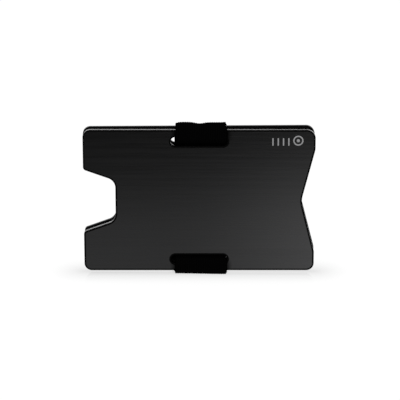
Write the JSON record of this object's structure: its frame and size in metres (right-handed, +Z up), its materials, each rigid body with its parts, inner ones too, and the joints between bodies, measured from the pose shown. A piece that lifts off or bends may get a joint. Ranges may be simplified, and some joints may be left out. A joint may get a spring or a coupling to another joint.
{
  "type": "card holder",
  "caption": "Slim card holder: two notched aluminium plates held together by an elastic band threaded through slots, so cards slide in between them.",
  "frame": {"origin": "on the surface it stands on, under the middle of its bounding box", "axes": "+X along the plates towards the V notch, +Y from the front plate to the rear plate, +Z up"},
  "size_m": [0.0862, 0.009, 0.0571],
  "materials": {
    "anodised_aluminium": "satin black anodised, lightly brushed along its length",
    "woven_elastic": "matt black woven elastic"
  },
  "bodies": {
    "front_plate": {"front_plate": "anodised_aluminium", "band_front_run": "woven_elastic", "band_top_bridge": "woven_elastic", "band_bottom_bridge": "woven_elastic"},
    "rear_plate": {"rear_plate": "anodised_aluminium", "band_rear_upper_run": "woven_elastic", "band_sewn_joint": "woven_elastic", "band_rear_lower_run": "woven_elastic"}
  },
  "joints": [
    {"name": "rear_plate_slide", "type": "slide", "parent": "front_plate", "child": "rear_plate", "axis": [0, 1, 0], "range_m": [0, 0.00912], "stiffness_N_per_m": 350, "springref_m": -0.006, "deforming": ["band_top_bridge", "band_bottom_bridge"]}
  ]
}
